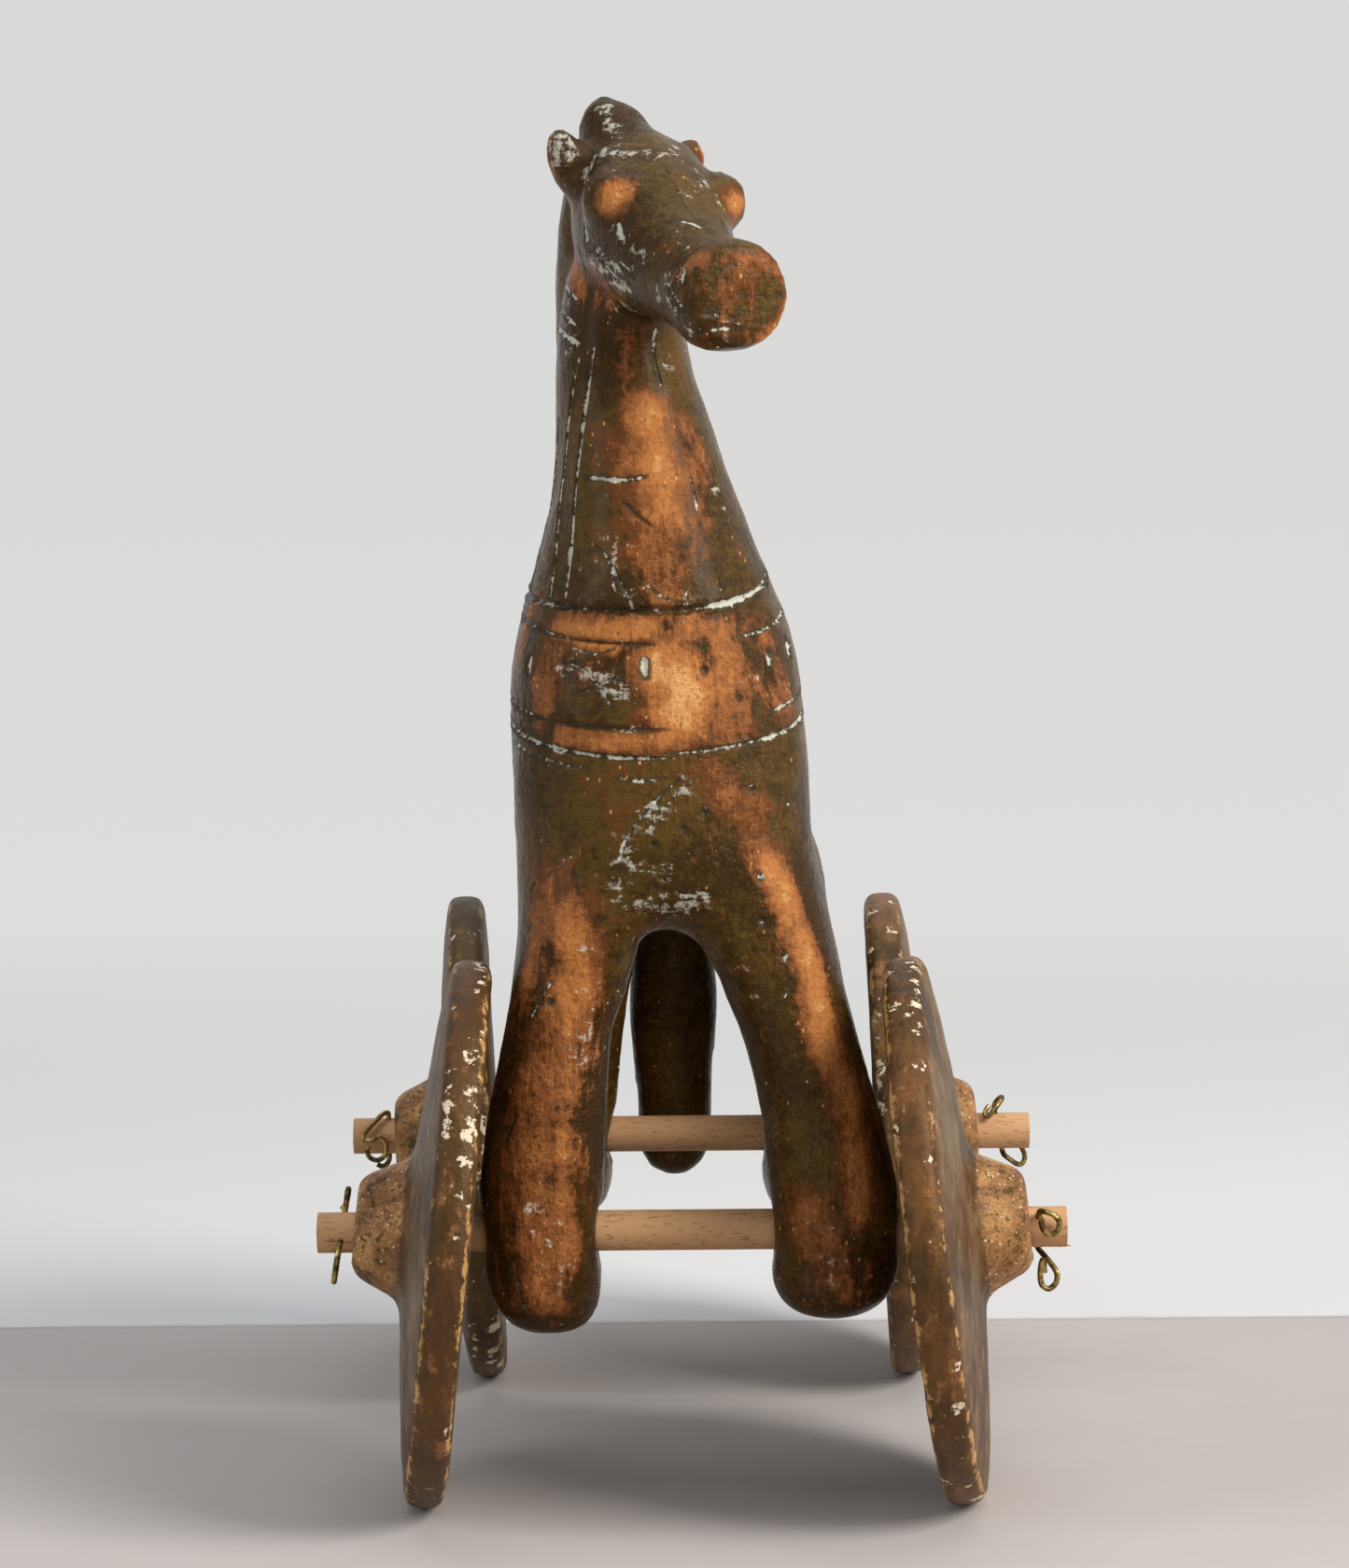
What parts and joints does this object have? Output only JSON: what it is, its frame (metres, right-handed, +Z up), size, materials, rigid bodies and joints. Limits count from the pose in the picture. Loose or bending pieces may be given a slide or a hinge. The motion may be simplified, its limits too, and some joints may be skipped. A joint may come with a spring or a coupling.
{
  "type": "wheeled horse figure",
  "caption": "Fired-clay horse with a tall neck and turned head, standing on clay disc wheels that turn on loose wooden dowels held by bent brass wire pins.",
  "frame": {"origin": "on the floor, midway between the two axles on the middle plane of the running gear", "axes": "+Z up; the horse looks along -Y; X runs along the axles, +X on the right seen from the front"},
  "size_m": [0.152, 0.2331, 0.276],
  "materials": {
    "clay_body": "dark olive-brown patina, waxed, worn through to orange clay on the high places",
    "clay_wheel": "thin brown and grey-olive patina, matt, chipped pale at the rim",
    "dowel_wood": "bare beech, rough-sawn ends",
    "brass_wire": "aged, dull"
  },
  "bodies": {
    "horse": {"horse": "clay_body"},
    "front_axle": {"front_axle": "dowel_wood"},
    "rear_axle": {"rear_axle": "dowel_wood"},
    "wheel_front_left": {"wheel_front_left": "clay_wheel"},
    "wheel_front_right": {"wheel_front_right": "clay_wheel"},
    "wheel_rear_left": {"wheel_rear_left": "clay_wheel"},
    "wheel_rear_right": {"wheel_rear_right": "clay_wheel"},
    "pin_front_left": {"pin_front_left": "brass_wire"},
    "pin_front_right": {"pin_front_right": "brass_wire"},
    "pin_rear_left": {"pin_rear_left": "brass_wire"},
    "pin_rear_right": {"pin_rear_right": "brass_wire"}
  },
  "joints": [
    {"name": "front_axle_spin", "type": "hinge", "parent": "horse", "child": "front_axle", "pos_m": [0, -0.0625, 0.054], "axis": [1, 0, 0], "continuous": true},
    {"name": "rear_axle_spin", "type": "hinge", "parent": "horse", "child": "rear_axle", "pos_m": [0, 0.0625, 0.054], "axis": [1, 0, 0], "continuous": true},
    {"name": "wheel_front_left_spin", "type": "hinge", "parent": "front_axle", "child": "wheel_front_left", "pos_m": [-0.0559, -0.0625, 0.054], "axis": [1, 0, 0], "continuous": true},
    {"name": "wheel_front_right_spin", "type": "hinge", "parent": "front_axle", "child": "wheel_front_right", "pos_m": [0.0559, -0.0625, 0.054], "axis": [1, 0, 0], "continuous": true},
    {"name": "wheel_rear_left_spin", "type": "hinge", "parent": "rear_axle", "child": "wheel_rear_left", "pos_m": [-0.0559, 0.0625, 0.054], "axis": [1, 0, 0], "continuous": true},
    {"name": "wheel_rear_right_spin", "type": "hinge", "parent": "rear_axle", "child": "wheel_rear_right", "pos_m": [0.0537, 0.0625, 0.054], "axis": [1, 0, 0], "continuous": true},
    {"name": "pin_front_left_swivel", "type": "hinge", "parent": "front_axle", "child": "pin_front_left", "pos_m": [-0.0692, -0.0625, 0.054], "axis": [0.114, 0.5736, 0.8112], "range_deg": [-26, 10]},
    {"name": "pin_front_right_swivel", "type": "hinge", "parent": "front_axle", "child": "pin_front_right", "pos_m": [0.0682, -0.0625, 0.054], "axis": [0, -0.766, 0.6428], "range_deg": [-10, 16]},
    {"name": "pin_rear_left_swivel", "type": "hinge", "parent": "rear_axle", "child": "pin_rear_left", "pos_m": [-0.0682, 0.0625, 0.054], "axis": [0, -0.1392, 0.9903], "range_deg": [-7, 4]},
    {"name": "pin_rear_right_swivel", "type": "hinge", "parent": "rear_axle", "child": "pin_rear_right", "pos_m": [0.0692, 0.0625, 0.054], "axis": [-0.1903, -0.0698, 0.9792], "range_deg": [-10, 100]}
  ]
}
